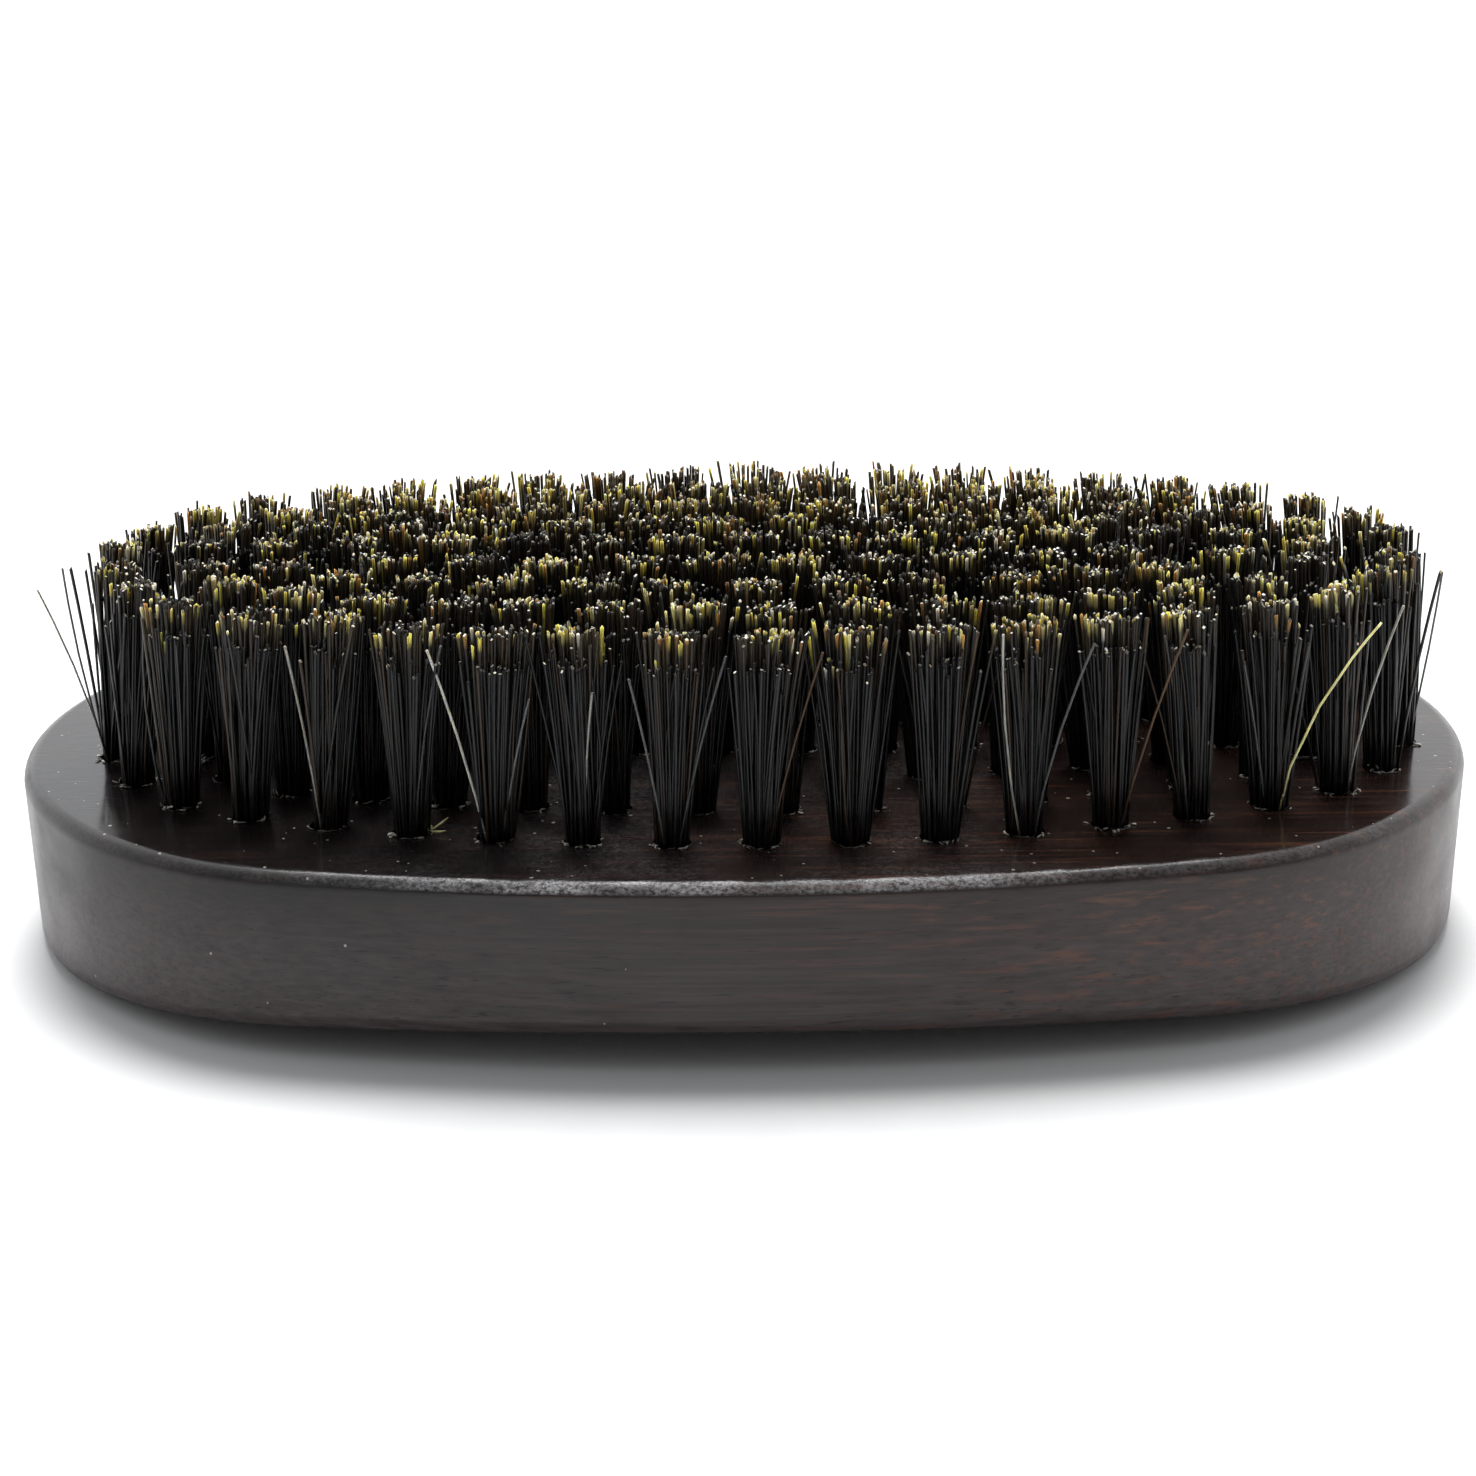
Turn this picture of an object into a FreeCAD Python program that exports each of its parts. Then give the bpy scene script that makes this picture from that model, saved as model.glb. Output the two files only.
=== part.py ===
import FreeCAD, Part
import math
import os

# Palm beard brush, resting on its crowned back with the bristles up.
#
# Units are millimetres. +X runs along the block, +Z is up, and -Y is the side that the short legs of the
# tufts face. The origin is the middle of the flat land under the block, which is what the brush rests on.
#
# The brush is one solid wooden block, drilled with concentric rings of blind holes. Each hole holds a
# tuft: a bundle of bristles doubled over a piece of flat wire, the anchor, whose ends bite into the wood.

# Wooden block
BLOCK_LENGTH = 125.0
BLOCK_WIDTH = 72.0
BLOCK_END_RADIUS = 33.3
BLOCK_THICKNESS = 15.4
SIDE_HEIGHT = 12.4
LAND_WIDTH = 18.0
TOP_EDGE_RADIUS = 1.2
BACK_EDGE_RADIUS = 1.5

# Drilled pattern: rings that follow the block's outline, and one straight row inside them
OUTER_RING_LENGTH = 112.0
ROW_SPACING = 6.9
RING_TUFT_COUNTS = (40, 35, 28, 22)
CENTRE_ROW_TUFT_COUNT = 9
RING_END_ROUNDNESS = 0.8
PATTERN_SHIFT_X = 1.2
HOLE_DIAMETER = 3.0
HOLE_DEPTH = 8.0

# Tuft: one bundle doubled in the middle, with its short leg towards -Y and its long leg towards +Y
LONG_LEG_HEIGHT = 17.0
SHORT_LEG_HEIGHT = 14.8
TUFT_TIP_DIAMETER = 5.8
FOLD_RADIUS = 1.1

# Anchor: flat wire set on edge across the hole, along X
ANCHOR_LENGTH = 3.6
ANCHOR_HEIGHT = 1.6
ANCHOR_THICKNESS = 0.35
ANCHOR_CLEARANCE_BELOW = 1.4

# Worked out from the sizes above
RING_COUNT = len(RING_TUFT_COUNTS)
OUTER_RING_WIDTH = 2 * RING_COUNT * ROW_SPACING
CENTRE_ROW_PITCH = ROW_SPACING
HOLE_RADIUS = HOLE_DIAMETER / 2
HOLE_BOTTOM_Z = BLOCK_THICKNESS - HOLE_DEPTH
BACK_RISE = BLOCK_THICKNESS - SIDE_HEIGHT
SECTOR_NAMES = ("front_left", "front_right", "rear_right", "rear_left")

UP = FreeCAD.Vector(0, 0, 1)


def point(x, y, z=0.0):
    return FreeCAD.Vector(x, y, z)


def oval_wire(half_length, half_width, end_radius):
    """A closed oval of arcs that run tangent into each other, from its -X end round by the -Y side."""
    reach = half_length - end_radius
    side_radius = (reach**2 + half_width**2 - end_radius**2) / (2 * (half_width - end_radius))
    turn = math.atan2(side_radius - half_width, reach)
    join_x = reach + end_radius * math.cos(turn)
    join_y = end_radius * math.sin(turn)
    bend_x = reach + end_radius * math.cos(turn / 2)
    bend_y = end_radius * math.sin(turn / 2)
    arcs = (
        Part.Arc(point(-half_length, 0), point(-bend_x, -bend_y), point(-join_x, -join_y)),
        Part.Arc(point(-join_x, -join_y), point(0, -half_width), point(join_x, -join_y)),
        Part.Arc(point(join_x, -join_y), point(half_length, 0), point(join_x, join_y)),
        Part.Arc(point(join_x, join_y), point(0, half_width), point(-join_x, join_y)),
        Part.Arc(point(-join_x, join_y), point(-bend_x, bend_y), point(-half_length, 0)),
    )
    return Part.Wire([arc.toShape() for arc in arcs])


def block_section():
    """The block's cross-section: level on top, with a flat land and two rising arcs underneath."""
    half_land = LAND_WIDTH / 2
    half_width = BLOCK_WIDTH / 2
    run = half_width - half_land
    back_radius = (run**2 + BACK_RISE**2) / (2 * BACK_RISE)
    middle_y = half_land + run / 2
    middle_z = back_radius - math.sqrt(back_radius**2 - (run / 2) ** 2)
    corners = {
        "land_front": point(0, -half_land, 0),
        "land_rear": point(0, half_land, 0),
        "side_rear": point(0, half_width, BACK_RISE),
        "top_rear": point(0, half_width, BLOCK_THICKNESS),
        "top_front": point(0, -half_width, BLOCK_THICKNESS),
        "side_front": point(0, -half_width, BACK_RISE),
    }
    edges = (
        Part.LineSegment(corners["land_front"], corners["land_rear"]),
        Part.Arc(corners["land_rear"], point(0, middle_y, middle_z), corners["side_rear"]),
        Part.LineSegment(corners["side_rear"], corners["top_rear"]),
        Part.LineSegment(corners["top_rear"], corners["top_front"]),
        Part.LineSegment(corners["top_front"], corners["side_front"]),
        Part.Arc(corners["side_front"], point(0, -middle_y, middle_z), corners["land_front"]),
    )
    return Part.Face(Part.Wire([edge.toShape() for edge in edges]))


def undrilled_block():
    """The block before drilling: the oval outline, the crowned back and both rounded edges."""
    outline = Part.Face(oval_wire(BLOCK_LENGTH / 2, BLOCK_WIDTH / 2, BLOCK_END_RADIUS))
    prism = outline.extrude(UP * BLOCK_THICKNESS)
    bar = block_section().extrude(point(BLOCK_LENGTH, 0))
    bar.translate(point(-BLOCK_LENGTH / 2, 0))
    blank = prism.common(bar).removeSplitter()
    blank = round_edges(blank, TOP_EDGE_RADIUS, lambda z: z > BLOCK_THICKNESS - 0.01)
    return round_edges(blank, BACK_EDGE_RADIUS, lambda z: z < BACK_RISE + 0.01)


def round_edges(solid, radius, at_height):
    """Rounds the edges between the upright wall and the face at the given height."""
    chosen = []
    for edge in solid.Edges:
        box = edge.BoundBox
        walls = [face for face in solid.ancestorsOfType(edge, Part.Face) if is_upright(face)]
        if at_height(box.ZMin) and at_height(box.ZMax) and len(walls) == 1:
            chosen.append(edge)
    return solid.makeFillet(radius, chosen)


def is_upright(face):
    u_low, u_high, v_low, v_high = face.ParameterRange
    return abs(face.normalAt((u_low + u_high) / 2, (v_low + v_high) / 2).z) < 0.001


def ring_places(ring):
    """Hole centres of one ring, evenly spaced along its oval, the first at its -X end."""
    inset = ring * ROW_SPACING
    half_length = OUTER_RING_LENGTH / 2 - inset
    half_width = OUTER_RING_WIDTH / 2 - inset
    wire = oval_wire(half_length, half_width, half_width * RING_END_ROUNDNESS)
    places = wire.discretize(Number=RING_TUFT_COUNTS[ring] + 1)[:-1]
    return [place + point(PATTERN_SHIFT_X, 0) for place in places]


def centre_row_places():
    """Hole centres of the straight row, the first at its -X end."""
    first_x = PATTERN_SHIFT_X - CENTRE_ROW_PITCH * (CENTRE_ROW_TUFT_COUNT - 1) / 2
    return [point(first_x + CENTRE_ROW_PITCH * number, 0) for number in range(CENTRE_ROW_TUFT_COUNT)]


def grouped_places():
    """Every hole centre, grouped by the part of the pattern that it is in."""
    groups = {}
    for ring in range(RING_COUNT):
        places = ring_places(ring)
        for number, place in enumerate(places):
            sector = SECTOR_NAMES[number * len(SECTOR_NAMES) // len(places)]
            groups.setdefault(f"ring_{ring + 1}_{sector}", []).append(place)
    groups["centre_row"] = centre_row_places()
    return groups


def anchor():
    """The flat wire, for a hole at the origin."""
    corner = point(-ANCHOR_LENGTH / 2, -ANCHOR_THICKNESS / 2, HOLE_BOTTOM_Z + ANCHOR_CLEARANCE_BELOW)
    return Part.makeBox(ANCHOR_LENGTH, ANCHOR_THICKNESS, ANCHOR_HEIGHT, corner)


def tuft():
    """The doubled bundle, for a hole at the origin: it fills the hole and flares above the wood."""
    tip_z = BLOCK_THICKNESS + LONG_LEG_HEIGHT
    tip_radius = TUFT_TIP_DIAMETER / 2
    fold_end_z = HOLE_BOTTOM_Z + FOLD_RADIUS
    floor_radius = HOLE_RADIUS - FOLD_RADIUS
    fold_middle_r = floor_radius + FOLD_RADIUS * math.sin(math.pi / 4)
    fold_middle_z = fold_end_z - FOLD_RADIUS * math.cos(math.pi / 4)
    profile = (
        Part.LineSegment(point(0, 0, HOLE_BOTTOM_Z), point(floor_radius, 0, HOLE_BOTTOM_Z)),
        Part.Arc(
            point(floor_radius, 0, HOLE_BOTTOM_Z),
            point(fold_middle_r, 0, fold_middle_z),
            point(HOLE_RADIUS, 0, fold_end_z),
        ),
        Part.LineSegment(point(HOLE_RADIUS, 0, fold_end_z), point(HOLE_RADIUS, 0, BLOCK_THICKNESS)),
        Part.LineSegment(point(HOLE_RADIUS, 0, BLOCK_THICKNESS), point(tip_radius, 0, tip_z)),
        Part.LineSegment(point(tip_radius, 0, tip_z), point(0, 0, tip_z)),
        Part.LineSegment(point(0, 0, tip_z), point(0, 0, HOLE_BOTTOM_Z)),
    )
    section = Part.Face(Part.Wire([edge.toShape() for edge in profile]))
    bundle = section.revolve(point(0, 0), UP, 360)
    above_short_leg = Part.makeBox(
        2 * TUFT_TIP_DIAMETER,
        TUFT_TIP_DIAMETER,
        LONG_LEG_HEIGHT,
        point(-TUFT_TIP_DIAMETER, -TUFT_TIP_DIAMETER, BLOCK_THICKNESS + SHORT_LEG_HEIGHT),
    )
    return bundle.cut(above_short_leg).cut(anchor())


def drill(block, places):
    """The block with a blind hole at each place, and the slots that the anchors' ends press into it."""
    hole = Part.makeCylinder(HOLE_RADIUS, HOLE_DEPTH + 1, point(0, 0, HOLE_BOTTOM_Z))
    cutter = hole.fuse(anchor())
    return block.cut([cutter.translated(place) for place in places])


def copies(shape, places):
    return Part.makeCompound([shape.translated(place) for place in places])


def export(shape, node):
    if not shape.isValid():
        raise ValueError(f"{node} is not a valid shape")
    shape.exportStep(f"parts/{node}.step")


def main():
    os.makedirs("parts", exist_ok=True)
    groups = grouped_places()
    every_place = [place for places in groups.values() for place in places]
    export(drill(undrilled_block(), every_place), "wood_block")
    for group, places in groups.items():
        export(copies(tuft(), places), f"tufts_{group}")
        export(copies(anchor(), places), f"anchors_{group}")


main()
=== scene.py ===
import math

import bpy
import numpy as np
from mathutils import Matrix, Vector


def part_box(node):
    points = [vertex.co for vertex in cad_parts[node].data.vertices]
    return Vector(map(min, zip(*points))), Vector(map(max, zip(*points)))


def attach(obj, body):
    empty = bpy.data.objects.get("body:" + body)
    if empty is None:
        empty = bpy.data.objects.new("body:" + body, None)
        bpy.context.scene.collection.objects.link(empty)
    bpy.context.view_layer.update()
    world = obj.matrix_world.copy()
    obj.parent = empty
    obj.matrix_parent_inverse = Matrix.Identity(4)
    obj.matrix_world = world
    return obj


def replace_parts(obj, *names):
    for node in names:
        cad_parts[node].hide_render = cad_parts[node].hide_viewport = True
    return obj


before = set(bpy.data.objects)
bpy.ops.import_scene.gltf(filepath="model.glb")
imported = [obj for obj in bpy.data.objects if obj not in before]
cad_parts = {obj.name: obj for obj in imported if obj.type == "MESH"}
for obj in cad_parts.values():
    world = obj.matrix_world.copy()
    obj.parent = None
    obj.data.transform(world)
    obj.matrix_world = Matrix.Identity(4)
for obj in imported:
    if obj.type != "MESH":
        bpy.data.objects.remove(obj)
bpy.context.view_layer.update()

# Everything is in metres, in the part's own frame: +X along the block, +Z up, the origin under its middle.
# The front, which the short legs of the tufts face and where the camera stands, is the -Y side.
MM = 0.001
BLOCK = "wood_block"
TUFT_NODES = sorted(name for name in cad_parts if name.startswith("tufts_"))
FACE_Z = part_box(BLOCK)[1].z
LONG_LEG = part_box(TUFT_NODES[0])[1].z - FACE_Z
SHORT_LEG = LONG_LEG - 2.3 * MM
HOLE_RADIUS = 1.5 * MM
HALF_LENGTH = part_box(BLOCK)[1].x
PAINT = "hair_colour"  # the mesh attribute that holds the colours of hairs and fibres


# ---------------------------------------------------------------- node helpers


def new_material(name):
    """A material with a Principled shader, and its node tree."""
    material = bpy.data.materials.new(name)
    material.use_nodes = True
    tree = material.node_tree
    return material, tree, tree.nodes["Principled BSDF"]


def add(tree, kind, inputs=None, **settings):
    """A new node with its settings and its unlinked inputs set."""
    node = tree.nodes.new(kind)
    for key, value in settings.items():
        setattr(node, key, value)
    for key, value in (inputs or {}).items():
        node.inputs[key].default_value = value
    return node


def fill(tree, socket, value):
    """Gives a node's input a constant, a colour or another node's output."""
    if isinstance(value, bpy.types.NodeSocket):
        tree.links.new(value, socket)
    elif isinstance(value, tuple):
        socket.default_value = (*value, 1)
    else:
        socket.default_value = value


def stretched(tree, scale):
    """The object's own coordinates, scaled along each axis."""
    place = add(tree, "ShaderNodeTexCoord")
    mapping = add(tree, "ShaderNodeMapping", {"Scale": scale})
    tree.links.new(place.outputs["Object"], mapping.inputs["Vector"])
    return mapping.outputs["Vector"]


def noise(tree, scale, detail=4.0, roughness=0.6, distortion=0.0):
    """Noise with its own scale along each axis, in cycles a metre."""
    settings = {"Scale": 1.0, "Detail": detail, "Roughness": roughness, "Distortion": distortion}
    node = add(tree, "ShaderNodeTexNoise", settings)
    tree.links.new(stretched(tree, scale), node.inputs["Vector"])
    return node.outputs["Fac"]


def axis(tree, vector, name):
    """One component of a vector."""
    axes = add(tree, "ShaderNodeSeparateXYZ")
    tree.links.new(vector, axes.inputs["Vector"])
    return axes.outputs[name]


def rescaled(tree, value, start, end, low, high, curve="LINEAR"):
    """A value taken from start..end to low..high, and held at those ends."""
    ends = {"From Min": start, "From Max": end, "To Min": low, "To Max": high}
    node = add(tree, "ShaderNodeMapRange", ends, interpolation_type=curve)
    tree.links.new(value, node.inputs["Value"])
    return node.outputs["Result"]


def ramp(tree, value, stops):
    """A colour ramp: stops is a list of (position, brightness or colour)."""
    node = add(tree, "ShaderNodeValToRGB")
    elements = node.color_ramp.elements
    while len(elements) < len(stops):
        elements.new(0.5)
    for element, (position, colour) in zip(elements, stops):
        element.position = position
        element.color = (colour,) * 3 + (1,) if isinstance(colour, (int, float)) else (*colour, 1)
    tree.links.new(value, node.inputs["Fac"])
    return node.outputs["Color"]


def blended(tree, factor, first, second, mode="MIX"):
    """Two colours mixed. Each of the three inputs is a socket or a constant."""
    node = add(tree, "ShaderNodeMix", data_type="RGBA", blend_type=mode)
    for number, value in ((0, factor), (6, first), (7, second)):
        fill(tree, node.inputs[number], value)
    return node.outputs[2]


def combined(tree, operation, *values):
    """Numbers combined by a Math node. Each is a socket or a constant."""
    node = add(tree, "ShaderNodeMath", operation=operation)
    for socket, value in zip(node.inputs, values):
        fill(tree, socket, value)
    return node.outputs[0]


def product(tree, *values):
    """Numbers multiplied together. Each is a socket or a constant."""
    result = values[0]
    for value in values[1:]:
        result = combined(tree, "MULTIPLY", result, value)
    return result


def bumped(tree, height, strength, distance, normal=None):
    """The surface's normal, tilted by a height in metres times distance."""
    node = add(tree, "ShaderNodeBump", {"Strength": strength, "Distance": distance})
    tree.links.new(height, node.inputs["Height"])
    if normal is not None:
        tree.links.new(normal, node.inputs["Normal"])
    return node.outputs["Normal"]


# ---------------------------------------------------------------- materials


def dust(tree, scale, size, share):
    """A mask of small round specks, one in some of the cells of a Voronoi pattern."""
    place = add(tree, "ShaderNodeTexCoord")
    cells = add(tree, "ShaderNodeTexVoronoi", {"Scale": scale, "Randomness": 1.0})
    tree.links.new(place.outputs["Object"], cells.inputs["Vector"])
    own = add(tree, "ShaderNodeSeparateColor")
    tree.links.new(cells.outputs["Color"], own.inputs["Color"])
    reach = product(tree, own.outputs["Green"], size)
    is_inside = combined(tree, "LESS_THAN", cells.outputs["Distance"], reach)
    is_chosen = combined(tree, "LESS_THAN", own.outputs["Red"], share)
    return product(tree, is_inside, is_chosen)


# How worn the top edge is along the block, and how much painted highlight it carries, from its left end (0) to its
# right end (1).
EDGE_WEAR_AND_HIGHLIGHT = [
    (0.0, 0.05),
    (0.2, 0.06),
    (0.27, 0.4),
    (0.34, 0.6),
    (0.38, 1.0),
    (0.44, 0.9),
    (0.5, 0.45),
    (0.54, 0.5),
    (0.58, 0.95),
    (0.64, 0.75),
    (0.7, 0.15),
    (1.0, 0.08),
]


DARK_STAIN = (0.0052, 0.0043, 0.0045)
PALER_STAIN = (0.0102, 0.0080, 0.0080)
WARM_STAIN = (0.046, 0.024, 0.017)
LOW_WALL_COLOUR = (0.064, 0.051, 0.051)
RED_GRAIN = (0.125, 0.048, 0.026)
PORE = (0.003, 0.0022, 0.002)
# The pale top edge: bare wood where the lacquer is worn, and a painted highlight where the key light catches the
# edge.
BARE_EDGE_AND_HIGHLIGHT = (0.50, 0.49, 0.50)
DUST = (0.42, 0.38, 0.34)


def stain(tree, place, warmth, lines, end_grain):
    """The stained wood's colour: dark bands, warmer to the right, lighter towards the bottom, streaked with red."""
    bands = noise(tree, (14, 130, 130), 3.0, 0.5, 0.6)
    base = ramp(tree, bands, [(0.3, DARK_STAIN), (0.72, PALER_STAIN)])
    warm = blended(tree, product(tree, warmth, 0.62), base, WARM_STAIN)
    # The wall's colour is made lighter towards the bottom.
    lowness = rescaled(tree, axis(tree, place, "Z"), 3 * MM, FACE_Z - 1.5 * MM, 0.85, 0.0)
    lightened_low = blended(tree, lowness, warm, LOW_WALL_COLOUR)
    lined = blended(tree, 1.0, lightened_low, ramp(tree, lines, [(0.3, 0.6), (0.7, 1.4)]), "MULTIPLY")
    streaks = rescaled(tree, noise(tree, (60, 1500, 1500), 4.0, 0.65, 0.3), 0.53, 0.67, 0.0, 0.9)
    red = product(tree, streaks, warmth, rescaled(tree, end_grain, 0.5, 0.95, 1.0, 0.2))
    reddened = blended(tree, red, lined, RED_GRAIN)
    pores = noise(tree, (330, 5200, 5200), 2.0, 0.5)
    return blended(tree, rescaled(tree, pores, 0.62, 0.72, 0.0, 0.75), reddened, PORE)


def wood_material():
    """Dark stained hardwood under lacquer, its grain along X: glossy on the face, satin round the side."""
    material, tree, shader = new_material("dark_lacquered_wood")
    link = tree.links.new
    place = add(tree, "ShaderNodeTexCoord").outputs["Object"]
    normal = add(tree, "ShaderNodeNewGeometry").outputs["Normal"]
    level = axis(tree, normal, "Z")
    end_grain = combined(tree, "ABSOLUTE", axis(tree, normal, "X"))
    along = rescaled(tree, axis(tree, place, "X"), -HALF_LENGTH, HALF_LENGTH, 0.0, 1.0)

    above_wall = rescaled(tree, level, 0.3, 0.5, 0.0, 1.0)
    edge = product(tree, above_wall, rescaled(tree, level, 0.94, 0.995, 1.0, 0.1))
    patchy = rescaled(tree, noise(tree, (160, 200, 200), 3.0, 0.6), 0.35, 0.6, 0.35, 1.0)
    worn_and_highlit = product(tree, ramp(tree, along, EDGE_WEAR_AND_HIGHLIGHT), patchy)
    grit = noise(tree, (2600, 3600, 3600), 3.0, 0.8)
    lines = noise(tree, (30, 2400, 2400), 3.0, 0.6, 0.2)

    patches = rescaled(tree, noise(tree, (24, 60, 90), 2.0, 0.5), 0.35, 0.65, 0.3, 1.0)
    warmth = product(tree, patches, rescaled(tree, axis(tree, place, "X"), -30 * MM, 40 * MM, 0.12, 1.1))
    stained = stain(tree, place, warmth, lines, end_grain)
    # Pale grit on the top edge: partly wear, partly a painted highlight that widens the edge's shine.
    scuffs_and_highlight = product(tree, rescaled(tree, grit, 0.4, 0.6, 0.1, 1.0), edge, worn_and_highlit)
    scuffed_and_highlit = blended(tree, scuffs_and_highlight, stained, BARE_EDGE_AND_HIGHLIGHT)
    settled = rescaled(tree, along, 0.1, 0.6, 1.5, 0.7)
    dust_share = product(tree, rescaled(tree, level, 0.5, 0.95, 0.003, 0.035), settled)
    specks = product(tree, dust(tree, 2300.0, 0.36, dust_share), 0.8)
    link(blended(tree, specks, scuffed_and_highlit, DUST), shader.inputs["Base Color"])

    smears = noise(tree, (90, 160, 160), 4.0, 0.6)
    dullness = rescaled(tree, level, 0.80, 0.995, 0.36, 0.15)
    link(product(tree, dullness, rescaled(tree, smears, 0.3, 0.7, 0.8, 1.3)), shader.inputs["Roughness"])

    gritty = bumped(tree, product(tree, grit, edge, worn_and_highlit), 0.8, 0.14 * MM)
    scratches = rescaled(tree, noise(tree, (420, 5200, 5200), 2.0, 0.5, 0.4), 0.62, 0.72, 0.0, 1.0)
    scratched = bumped(tree, product(tree, scratches, patchy), 0.22, 0.05 * MM, gritty)
    grooved = bumped(tree, lines, 0.1, 0.04 * MM, scratched)
    orange_peel = noise(tree, (350, 500, 500), 3.0, 0.6)
    link(bumped(tree, orange_peel, 0.16, 0.08 * MM, grooved), shader.inputs["Normal"])
    shader.inputs["Specular IOR Level"].default_value = 0.38
    shader.inputs["IOR"].default_value = 1.5
    return material


def bristle_material():
    """Boar bristle: the colour along each hair is painted on the mesh, and its pale ends let light through."""
    material, tree, shader = new_material("boar_bristle")
    link = tree.links.new
    paint = add(tree, "ShaderNodeAttribute", attribute_name=PAINT).outputs["Color"]
    mottle = noise(tree, (2500, 2500, 700), 2.0, 0.5)
    shade = ramp(tree, mottle, [(0.25, 0.65), (0.75, 1.3)])
    link(blended(tree, 1.0, paint, shade, "MULTIPLY"), shader.inputs["Base Color"])
    link(rescaled(tree, mottle, 0.3, 0.7, 0.36, 0.56), shader.inputs["Roughness"])
    shader.inputs["IOR"].default_value = 1.5
    shader.inputs["Specular IOR Level"].default_value = 0.42
    brightness = add(tree, "ShaderNodeRGBToBW")
    link(paint, brightness.inputs["Color"])
    link(rescaled(tree, brightness.outputs["Val"], 0.05, 0.3, 0.0, 0.8), shader.inputs["Subsurface Weight"])
    shader.inputs["Subsurface Radius"].default_value = (1.0, 0.8, 0.45)
    shader.inputs["Subsurface Scale"].default_value = 0.25 * MM
    return material


def wood_fibre_material():
    """Torn, unstained fibre, for the drilled holes and the scraps on the face."""
    material, tree, shader = new_material("torn_wood_fibre")
    link = tree.links.new
    paint = add(tree, "ShaderNodeAttribute", attribute_name=PAINT).outputs["Color"]
    shade = ramp(tree, noise(tree, (1800, 3200, 3200), 3.0, 0.6), [(0.25, 0.5), (0.75, 1.25)])
    link(blended(tree, 1.0, paint, shade, "MULTIPLY"), shader.inputs["Base Color"])
    shader.inputs["Roughness"].default_value = 0.7
    return material


def wire_material():
    """Galvanised flat wire with drawing lines."""
    material, tree, shader = new_material("galvanised_wire")
    lines = noise(tree, (300, 9000, 9000), 3.0, 0.5)
    zinc = ramp(tree, lines, [(0.3, (0.42, 0.42, 0.41)), (0.7, (0.62, 0.62, 0.60))])
    tree.links.new(zinc, shader.inputs["Base Color"])
    tree.links.new(rescaled(tree, lines, 0.3, 0.7, 0.3, 0.5), shader.inputs["Roughness"])
    shader.inputs["Metallic"].default_value = 1.0
    return material


def floor_material():
    """The pale, matt floor."""
    material, tree, shader = new_material("pale_floor")
    grain = noise(tree, (40, 40, 40), 2.0, 0.5)
    tree.links.new(ramp(tree, grain, [(0.3, 0.86), (0.7, 0.88)]), shader.inputs["Base Color"])
    shader.inputs["Roughness"].default_value = 0.9
    return material


# ---------------------------------------------------------------- bristles

HAIRS_PER_TUFT = 82
HAIR_RADIUS = 0.112 * MM
HAIR_SIDES = 4
BUNDLE_RADIUS = 1.25 * MM
TIP_SPREAD = 2.1 * MM
FRONT_FAN = np.array([1.12, 0.9])  # how much wider the front tufts spread along X, and along Y
ROOT_DEPTH = 1.5 * MM
HALF_PATTERN = 27.6 * MM  # from the pattern's middle to its rear row
INWARD_LEAN = 0.028
REAR_DROP = 0.85  # how much lower the rearmost row is trimmed, in mm
STEPS = np.array([0.0, 0.3, 0.6, 0.83, 0.935, 0.98, 1.0])  # where each hair is sampled, from root to tip
GOLDEN_ANGLE = math.pi * (3 - math.sqrt(5))

BLACK = np.array([0.0058, 0.0060, 0.0068])
BROWN = np.array([0.034, 0.018, 0.008])
TAN = np.array([0.11, 0.075, 0.028])
TIP_COLOURS = np.array(
    [
        [0.95, 0.84, 0.15],  # lemon
        [0.94, 0.86, 0.40],  # pale straw
        [0.58, 0.31, 0.07],  # amber
        [0.30, 0.13, 0.04],  # chestnut
        [0.42, 0.37, 0.11],  # olive
        [0.84, 0.80, 0.70],  # off-white
    ]
)
FRONT_SHARES = np.array([0.32, 0.28, 0.13, 0.07, 0.08, 0.12])
REAR_SHARES = np.array([0.22, 0.22, 0.24, 0.1, 0.18, 0.04])
CUT_END = np.array([0.80, 0.75, 0.64])


def tuft_centres(node):
    """The axis of each tuft in a CAD node, from the flat fold at the bottom of each hole."""
    floor_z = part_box(node)[0].z
    groups = []
    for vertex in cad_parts[node].data.vertices:
        if vertex.co.z > floor_z + 0.01 * MM:
            continue
        for group in groups:
            if (group[0] - vertex.co).length < HOLE_RADIUS:
                group.append(vertex.co.copy())
                break
        else:
            groups.append([vertex.co.copy()])
    centres = []
    for group in groups:
        xs = [co.x for co in group]
        ys = [co.y for co in group]
        centres.append(((min(xs) + max(xs)) / 2, (min(ys) + max(ys)) / 2))
    return sorted(centres)


def curved(start, bend, end):
    """Quadratic curves through arrays of points, sampled at STEPS."""
    t = STEPS[None, :, None]
    return (1 - t) ** 2 * start[:, None] + 2 * t * (1 - t) * bend[:, None] + t**2 * end[:, None]


def leg_heights(rear, depth, rng):
    """Each hair's height, whether it is in the long leg, and the slope of the trim. depth: how far back it roots."""
    count = HAIRS_PER_TUFT
    is_long = depth > rng.normal(-0.35 * MM, 0.4 * MM, count)
    tilt = rng.normal(0, 0.045, 2)
    ragged = rng.random(count) < 0.3 + 0.4 * rear
    torn = rng.gamma(1.3, 0.5 + 0.55 * rear, count) - 0.25
    drop = np.where(ragged, torn, rng.normal(0.05, 0.12, count)) + REAR_DROP * rear
    uneven = np.where(ragged, rng.normal(-0.2, 0.8, count), rng.normal(0, 0.2, count))
    height = np.where(is_long, LONG_LEG - drop * MM, SHORT_LEG + uneven * MM)
    return height, is_long, tilt


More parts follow.
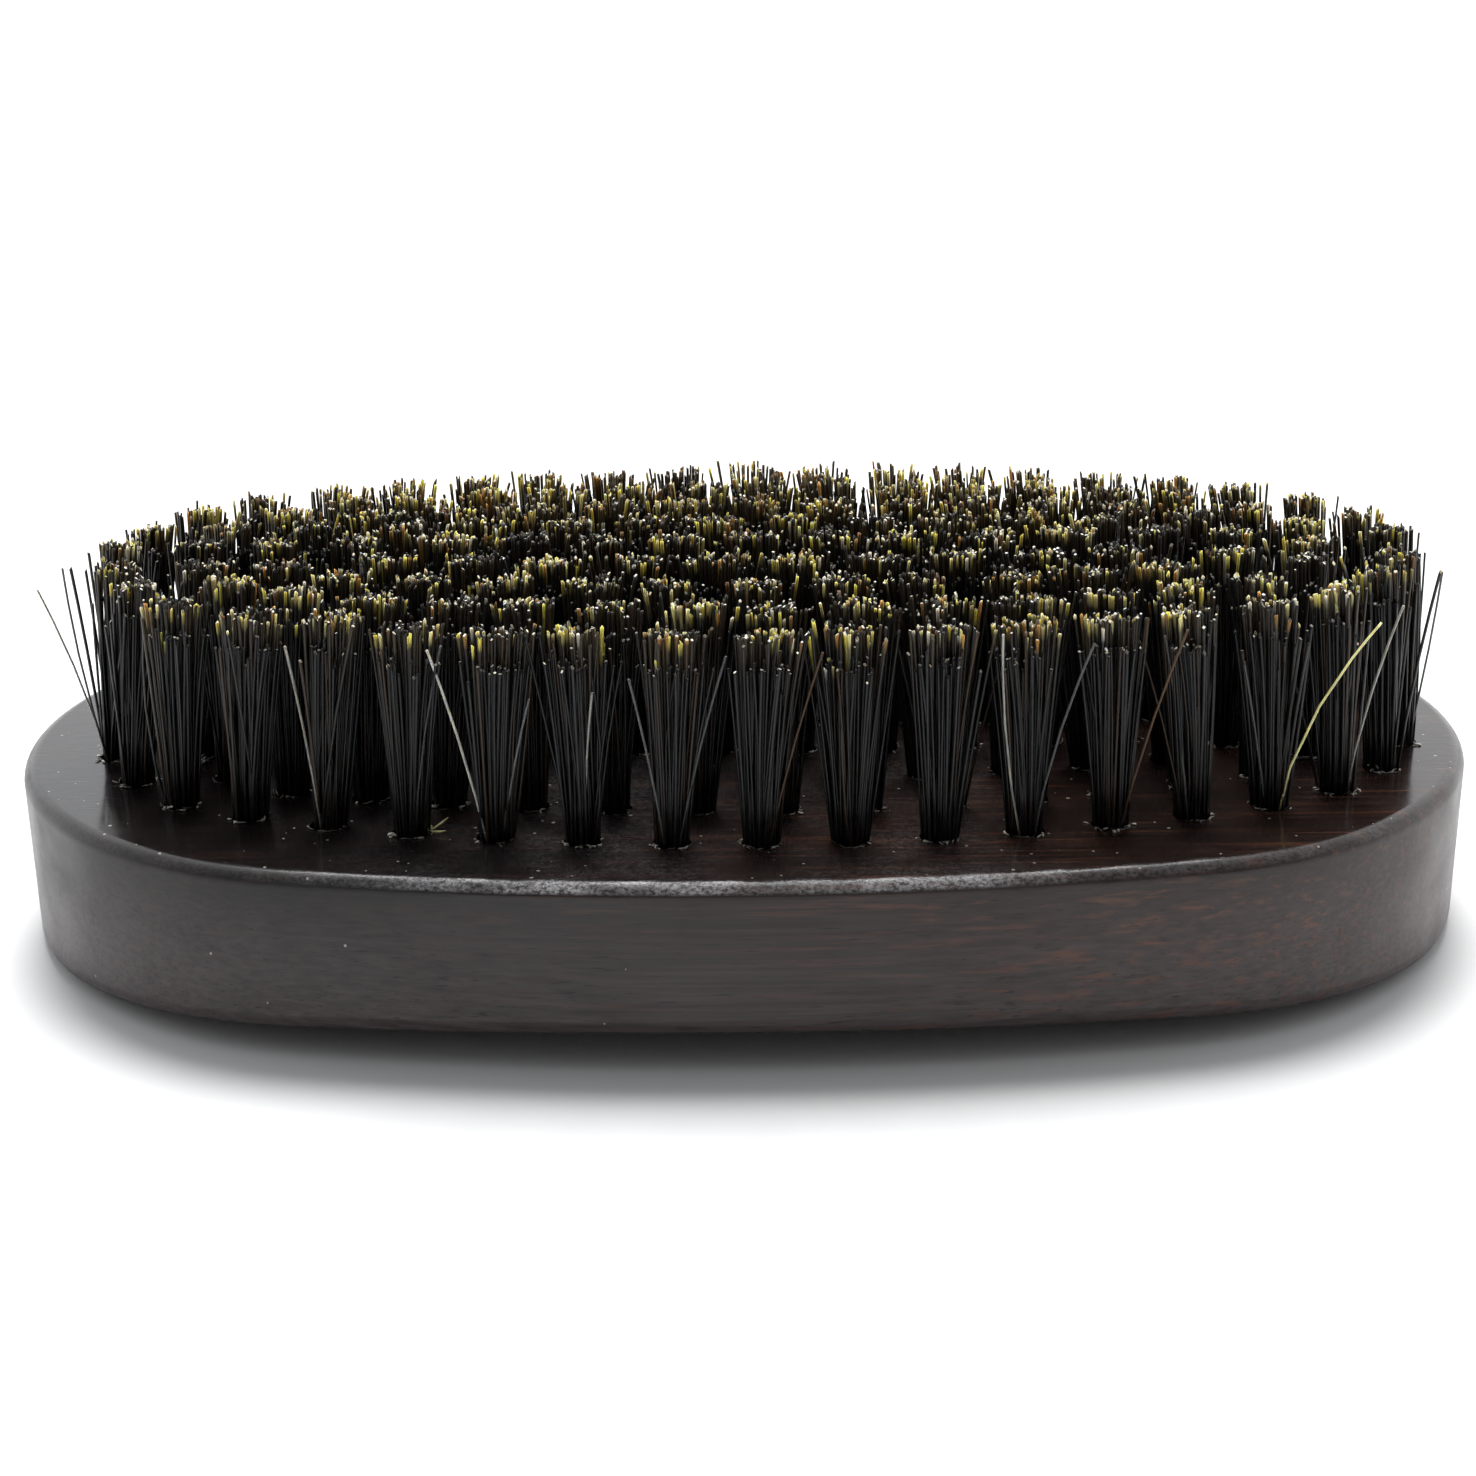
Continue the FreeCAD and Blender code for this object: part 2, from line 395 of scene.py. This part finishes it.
def hair_colours(rear, turn, height, is_long, rng):
    """The colours along each hair of a tuft (hairs, steps, 3), and the colours of the cut ends."""
    count = HAIRS_PER_TUFT
    dark = BLACK * np.exp(rng.normal(0, 0.45, (count, 1)))
    is_brown = rng.random((count, 1)) < 0.15 + 0.3 * rear
    dark = np.where(is_brown, BROWN * rng.uniform(0.3, 1.0, (count, 1)), dark)
    share = float(np.clip(rng.normal(0.37 + 0.2 * rear, 0.13), 0.06, 0.75))
    clump = rng.uniform(0, 2 * math.pi)
    chance = share * (1 + 0.55 * np.cos(turn - clump)) * np.where(is_long, 1.0, 0.08)
    is_light = rng.random(count) < chance
    shares = FRONT_SHARES * (1 - rear) + REAR_SHARES * rear
    light = TIP_COLOURS[rng.choice(len(TIP_COLOURS), count, p=shares)]
    light = light * rng.uniform(0.55, 1.08, (count, 1))
    length = (np.minimum(rng.lognormal(-0.9, 0.75, count), 1.6) * (1 + 0.5 * rear) + 0.1) * MM
    below_tip = (1 - STEPS)[None, :] * (height + ROOT_DEPTH)[:, None]
    amount = np.clip(1.3 - below_tip / length[:, None], 0, 1) * is_light[:, None]
    tan = np.clip(1 - below_tip / (5 * MM), 0, 1) * rng.uniform(0, 0.4 + 0.6 * rear, (count, 1)) * is_long[:, None]
    shaft = dark[:, None] * (1 - tan[..., None]) + TAN * (1 + 0.5 * rear) * tan[..., None]
    colour = shaft * (1 - amount[..., None]) + light[:, None] * amount[..., None]
    is_pale = rng.random((count, 1)) < np.where(is_long, 0.42, 0.08)[:, None]
    cut = CUT_END * np.where(is_pale, rng.uniform(0.6, 1.2, (count, 1)), rng.uniform(0.03, 0.25, (count, 1)))
    return colour, cut


def build_hairs(centre, rng):
    """The hairs of one tuft: centre lines and colours (hairs, steps, 3), and the colours of the cut ends."""
    count = HAIRS_PER_TUFT
    rear = np.clip(centre[1] / HALF_PATTERN, 0, 1)
    reach = np.sqrt((np.arange(count) + 0.5) / count)
    turn = np.arange(count) * GOLDEN_ANGLE + rng.uniform(0, 2 * math.pi)
    outward = np.stack([np.cos(turn), np.sin(turn)], 1)
    root = outward * (reach * BUNDLE_RADIUS)[:, None] + rng.normal(0, 0.05 * MM, (count, 2))
    lean = rng.normal(0, 0.34 * MM, 2) - np.array([INWARD_LEAN * centre[0], 0.3 * MM])
    narrowed = 0.25 * np.clip((abs(centre[0]) - 36 * MM) / (16 * MM), 0, 1)
    spread = TIP_SPREAD * rng.uniform(0.85, 1.15) * (1 + 0.2 * rear) * (1 - narrowed) * reach
    ruffle = rng.normal(0, (0.38 + 0.25 * rear) * MM, (count, 2))
    fan = FRONT_FAN * (1 - rear) + rear
    tip = outward * fan * spread[:, None] + ruffle + lean
    crosses = rng.random(count) < 0.12
    tip[crosses] += rng.normal(0, 1.0 * MM, (crosses.sum(), 2))
    strays = rng.random(count) < 0.02
    tip[strays] += outward[strays] * rng.uniform(0.8, 2.6, (strays.sum(), 1)) * MM
    height, is_long, tilt = leg_heights(rear, root[:, 1], rng)
    height = np.minimum(height + (tip - lean) @ tilt, LONG_LEG + 0.45 * MM)

    start = np.concatenate([root, np.full((count, 1), -ROOT_DEPTH)], 1)
    end = np.concatenate([tip, height[:, None]], 1)
    hold = rng.uniform(0.26, 0.5, (count, 1))
    bend = start + (end - start) * np.concatenate([hold, hold, np.full((count, 1), 0.5)], 1)
    limp = rng.random((count, 1)) < 0.06
    bend[:, :2] += rng.normal(0, 1, (count, 2)) * np.where(limp, 0.55, 0.13) * MM
    path = curved(start, bend, end) + np.array([centre[0], centre[1], FACE_Z])
    return path, *hair_colours(rear, turn, height, is_long, rng)


def tube_mesh(name, paths, colours, radii, ends, slants=0.0):
    """One mesh of closed tubes along paths, painted with colours, their far ends cut at a slant."""
    hairs, steps, _ = paths.shape
    slants = np.broadcast_to(slants, (hairs, 2))
    along = np.gradient(paths, axis=1)
    along /= np.linalg.norm(along, axis=2, keepdims=True)
    side = np.cross(along, np.array([0.0, 1.0, 0.0]))
    side /= np.linalg.norm(side, axis=2, keepdims=True)
    other = np.cross(along, side)
    angle = np.arange(HAIR_SIDES) * 2 * math.pi / HAIR_SIDES
    ring = side[:, :, None] * np.cos(angle)[None, None, :, None]
    ring = ring + other[:, :, None] * np.sin(angle)[None, None, :, None]
    points = paths[:, :, None] + ring * radii[:, :, None, None]
    lift = np.cos(angle)[None] * slants[:, :1] + np.sin(angle)[None] * slants[:, 1:]
    points[:, -1] += along[:, -1, None] * (lift * radii[:, -1:])[..., None]

    index = np.arange(hairs * steps * HAIR_SIDES).reshape(hairs, steps, HAIR_SIDES)
    turned = np.roll(index, -1, axis=2)
    walls = np.stack([index[:, :-1], turned[:, :-1], turned[:, 1:], index[:, 1:]], -1).reshape(-1, HAIR_SIDES)
    tops = index[:, -1]
    bottoms = index[:, 0, ::-1]
    faces = np.concatenate([walls, tops, bottoms])
    per_point = np.repeat(colours.reshape(-1, 3), HAIR_SIDES, axis=0)
    paint = np.concatenate([per_point[walls], np.repeat(ends[:, None], HAIR_SIDES, axis=1), per_point[bottoms]])

    mesh = bpy.data.meshes.new(name)
    mesh.vertices.add(points.size // 3)
    mesh.vertices.foreach_set("co", points.reshape(-1))
    mesh.loops.add(faces.size)
    mesh.loops.foreach_set("vertex_index", faces.reshape(-1))
    mesh.polygons.add(len(faces))
    mesh.polygons.foreach_set("loop_start", np.arange(len(faces)) * HAIR_SIDES)
    mesh.polygons.foreach_set("use_smooth", np.arange(len(faces)) < len(walls))
    mesh.update(calc_edges=True)
    layer = mesh.attributes.new(PAINT, "FLOAT_COLOR", "CORNER")
    paint = paint.reshape(-1, 3)
    layer.data.foreach_set("color", np.concatenate([paint, np.ones((len(paint), 1))], 1).reshape(-1))
    return mesh


def add_piece(mesh, material):
    """A visible piece made from a mesh and riding on the part's one body."""
    piece = bpy.data.objects.new(mesh.name, mesh)
    bpy.context.scene.collection.objects.link(piece)
    mesh.materials.append(material)
    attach(piece, "root")
    return piece


def build_tufts(node, material, seed):
    """The separate hairs that stand for one CAD node's tufts."""
    rng = np.random.default_rng(seed)
    made = [build_hairs(centre, rng) for centre in tuft_centres(node)]
    paths, colours, ends = (np.concatenate(arrays) for arrays in zip(*made))
    thickness = HAIR_RADIUS * rng.uniform(0.78, 1.28, (len(paths), 1))
    radii = thickness * np.interp(STEPS, [0, 0.6, 1], [1.0, 1.0, 1.04])[None, :]
    slants = rng.normal(0, 0.6, (len(paths), 2))
    mesh = tube_mesh("bristles_" + node.removeprefix("tufts_"), paths, colours, radii, ends, slants)
    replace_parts(add_piece(mesh, material), node)


STRAY_RADIUS = HAIR_RADIUS * 0.88
GREY = np.array([0.16, 0.165, 0.17])
WHITE = np.array([0.62, 0.62, 0.60])
STRAW = np.array([0.92, 0.86, 0.42])
# Loose hairs that stand out of the front row: the tuft's number from the left, counted from 0; how far the tip
# leans to +X, its height, and how far the middle bows to +X, all in mm; and the hair's colour.
FRONT_STRAYS = (
    (1, -4.7, 15.4, 0.5, WHITE * 0.5),
    (1, -2.4, 17.2, -0.4, GREY * 0.6),
    (4, 2.2, 15.6, 0.1, GREY * 0.6),
    (5, -2.0, 15.4, 0.2, WHITE * 0.5),
    (6, 3.4, 15.8, -0.4, GREY * 0.7),
    (7, -4.3, 15.9, 0.3, WHITE),
    (7, 3.2, 11.9, -0.2, GREY),
    (8, 1.2, 12.7, -0.3, WHITE * 0.6),
    (9, -2.9, 13.9, 0.2, GREY * 0.8),
    (9, 4.4, 15.6, -0.3, GREY * 0.5),
    (10, 4.7, 15.9, -0.3, BROWN * 2.2),
    (13, -2.4, 16.6, -0.5, WHITE * 0.8),
    (13, 4.5, 15.8, -0.6, GREY * 0.6),
    (14, 4.9, 16.4, -0.35, BROWN * 3),
    (15, -3.2, 15.4, 0.2, GREY * 0.6),
    (16, 7.2, 15.6, -1.5, STRAW),
    (16, -3.2, 12.6, 0.1, GREY * 0.6),
    (17, 3.6, 16.0, -0.5, WHITE * 0.5),
    (19, 1.9, 15.5, 0.2, GREY),
)


def build_front_strays(material):
    """The loose hairs of FRONT_STRAYS."""
    row = sorted(centre for node in TUFT_NODES if "ring_1_front" in node for centre in tuft_centres(node))
    starts, bends, ends, colours = [], [], [], []
    for number, lean, height, bow, colour in FRONT_STRAYS:
        x, y = row[number]
        side = math.copysign(0.3, lean) * MM
        foot = np.array([x + side, y - 1.0 * MM, FACE_Z - ROOT_DEPTH])
        tip = np.array([x + lean * MM, y - 1.6 * MM, FACE_Z + height * MM])
        starts.append(foot)
        bends.append((foot + tip) / 2 + np.array([bow * 2 * MM, 0, 0]))
        ends.append(tip)
        colours.append(colour * np.interp(STEPS, [0, 0.25, 1], [0.35, 0.8, 1.0])[:, None])
    paths = curved(np.array(starts), np.array(bends), np.array(ends))
    colours = np.array(colours)
    radii = np.full(paths.shape[:2], STRAY_RADIUS)
    mesh = tube_mesh("bristles_front_strays", paths, colours, radii, colours[:, -1])
    add_piece(mesh, material)


# ---------------------------------------------------------------- torn fibre and scraps

FIBRE_STEPS = 5
FIBRE_TAPER = np.array([0.3, 0.9, 1.0, 0.8, 0.2])
FIBRE = np.array([0.93, 0.87, 0.77])
FRONT_TURN = -math.pi / 2


def sliver(x, y, rng):
    """A thin lifted splinter that follows the rim of the hole at x, y."""
    start = FRONT_TURN + rng.normal(0, 0.95)
    sweep = rng.uniform(0.2, 0.75) * rng.choice((-1, 1))
    turn = start + sweep * np.linspace(0, 1, FIBRE_STEPS)
    away = HOLE_RADIUS + (abs(rng.normal(0.06, 0.08)) + np.cumsum(rng.normal(0, 0.035, FIBRE_STEPS))) * MM
    height = np.abs(np.cumsum(rng.normal(0.02, 0.04, FIBRE_STEPS))) * MM
    path = np.stack([x + away * np.cos(turn), y + away * np.sin(turn), FACE_Z + 0.02 * MM + height], 1)
    return path, rng.uniform(0.05, 0.45), rng.uniform(0.025, 0.06) * MM


def crumb(x, y, rng):
    """A short curled scrap of wood beside the hole at x, y."""
    turn = FRONT_TURN + rng.choice((-1, 1)) * rng.normal(0.75, 0.4)
    away = HOLE_RADIUS + abs(rng.normal(0.12, 0.18)) * MM
    heading = rng.uniform(0, 2 * math.pi)
    length = rng.uniform(0.15, 0.6) * MM
    t = np.linspace(-0.5, 0.5, FIBRE_STEPS)
    across = rng.normal(0, 0.35) * length * (0.25 - t**2) * 4
    path = np.stack(
        [
            x + away * math.cos(turn) + length * t * math.cos(heading) - across * math.sin(heading),
            y + away * math.sin(turn) + length * t * math.sin(heading) + across * math.cos(heading),
            FACE_Z + 0.05 * MM + rng.uniform(0, 0.5) * length * (0.5 + t),
        ],
        1,
    )
    return path, rng.uniform(0.45, 1.07), rng.uniform(0.035, 0.13) * MM


def build_hole_fibres(material):
    """Pale slivers and crumbs of torn wood round the mouth of each hole, most of them on its front side."""
    rng = np.random.default_rng(7)
    made = []
    for node in TUFT_NODES:
        for x, y in tuft_centres(node):
            made += [sliver(x, y, rng) for _ in range(rng.integers(4, 9))]
            made += [crumb(x, y, rng) for _ in range(rng.integers(2, 11))]
    paths = np.array([path for path, _, _ in made])
    shades = np.array([shade for _, shade, _ in made])
    ends = FIBRE * shades[:, None]
    colours = np.repeat(ends[:, None], FIBRE_STEPS, axis=1)
    radii = np.array([radius for _, _, radius in made])[:, None] * FIBRE_TAPER
    mesh = tube_mesh("hole_fibres", paths, colours, radii, ends)
    add_piece(mesh, material)


CURLS_PER_CHIP = 6
# Scraps left on the face: where each lies (X, Y) and its size, all in mm, and its colour.
CHIPS = (
    (-24.8, -24.6, 2.3, (0.86, 0.90, 0.42)),
    (-46.4, -9.2, 1.5, (0.90, 0.88, 0.76)),
    (52.5, -13.7, 1.5, (0.90, 0.88, 0.82)),
)


def build_chips(material):
    """Curled, ragged scraps: each is a few tapered curls that start at one place."""
    rng = np.random.default_rng(11)
    t = np.linspace(0, 1, FIBRE_STEPS)
    paths, colours, radii = [], [], []
    for x, y, size, colour in CHIPS:
        for _ in range(CURLS_PER_CHIP):
            heading = rng.uniform(0, 2 * math.pi) + rng.normal(0, 0.9) * t
            reach = rng.uniform(0.35, 0.7) * size * MM * t
            height = FACE_Z + 0.08 * MM + rng.uniform(0, 0.6) * size * MM * t**1.5
            paths.append(np.stack([x * MM + reach * np.cos(heading), y * MM + reach * np.sin(heading), height], 1))
            colours.append(np.array(colour) * rng.uniform(0.6, 1.05))
            radii.append(rng.uniform(0.07, 0.16) * MM * FIBRE_TAPER[::-1])
    ends = np.array(colours)
    paint = np.repeat(ends[:, None], FIBRE_STEPS, axis=1)
    mesh = tube_mesh("face_chips", np.array(paths), paint, np.array(radii), ends)
    add_piece(mesh, material)


# ---------------------------------------------------------------- stage, light and camera


def build_stage():
    """A pale floor under the brush."""
    bpy.ops.mesh.primitive_plane_add(size=6.0, location=(0, 0, 0))
    floor = bpy.context.object
    floor.name = "floor"
    floor.data.materials.append(floor_material())


def build_world():
    """A white studio: bright behind the brush, dim in front of it, where the camera stands."""
    world = bpy.data.worlds.new("white_studio")
    bpy.context.scene.world = world
    world.use_nodes = True
    tree = world.node_tree
    direction = add(tree, "ShaderNodeTexCoord").outputs["Generated"]
    sideways = combined(tree, "POWER", combined(tree, "ABSOLUTE", axis(tree, direction, "X")), 2.0)
    backward = combined(tree, "ADD", axis(tree, direction, "Y"), product(tree, sideways, 0.42))
    glow = rescaled(tree, backward, -0.4, 0.8, 0.13, 1.5, "SMOOTHSTEP")
    seen = add(tree, "ShaderNodeLightPath").outputs["Is Camera Ray"]
    background = tree.nodes["Background"]
    background.inputs["Color"].default_value = (0.96, 0.98, 1.0, 1)
    tree.links.new(combined(tree, "MAXIMUM", glow, product(tree, seen, 1.1)), background.inputs["Strength"])


def build_key_light():
    """A large soft light, high up behind the brush."""
    data = bpy.data.lights.new("soft_key", "SUN")
    data.energy = 3.8
    data.angle = math.radians(30)
    light = bpy.data.objects.new("soft_key", data)
    bpy.context.scene.collection.objects.link(light)
    elevation = math.radians(64)
    towards_light = Vector((0, 1, math.tan(elevation)))
    light.rotation_mode = "QUATERNION"
    light.rotation_quaternion = (-towards_light).to_track_quat("-Z", "Y")


def build_camera():
    """The camera stands in front of the brush and looks a little down on it."""
    distance = 205.07 * MM
    elevation = math.radians(20.13)
    roll = math.radians(-0.68)
    aim = Vector((-0.495 * MM, 0, FACE_Z - 1.513 * MM))
    back = Vector((0, -math.cos(elevation), math.sin(elevation)))
    right = Vector((1, 0, 0))
    up = back.cross(right)
    rolled_right = right * math.cos(roll) + up * math.sin(roll)
    rolled_up = up * math.cos(roll) - right * math.sin(roll)
    data = bpy.data.cameras.new("camera")
    data.sensor_width = 36.0
    data.lens = 56.33
    data.clip_start = 0.01
    camera = bpy.data.objects.new("camera", data)
    bpy.context.scene.collection.objects.link(camera)
    turn = Matrix((rolled_right, rolled_up, back)).transposed().to_4x4()
    camera.matrix_world = Matrix.Translation(aim + back * distance) @ turn
    bpy.context.scene.camera = camera


# ---------------------------------------------------------------- the brush


def finish_cad_node(node, material):
    """Gives a CAD node that stays its finished material."""
    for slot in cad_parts[node].material_slots:
        slot.material = material


build_stage()
build_world()
build_key_light()
build_camera()
bpy.context.scene.view_settings.view_transform = "Standard"

finish_cad_node(BLOCK, wood_material())
wire = wire_material()
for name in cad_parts:
    if name.startswith("anchors_"):
        finish_cad_node(name, wire)

bristle = bristle_material()
for number, name in enumerate(TUFT_NODES):
    build_tufts(name, bristle, number + 1)
build_front_strays(bristle)
fibre = wood_fibre_material()
build_hole_fibres(fibre)
build_chips(fibre)
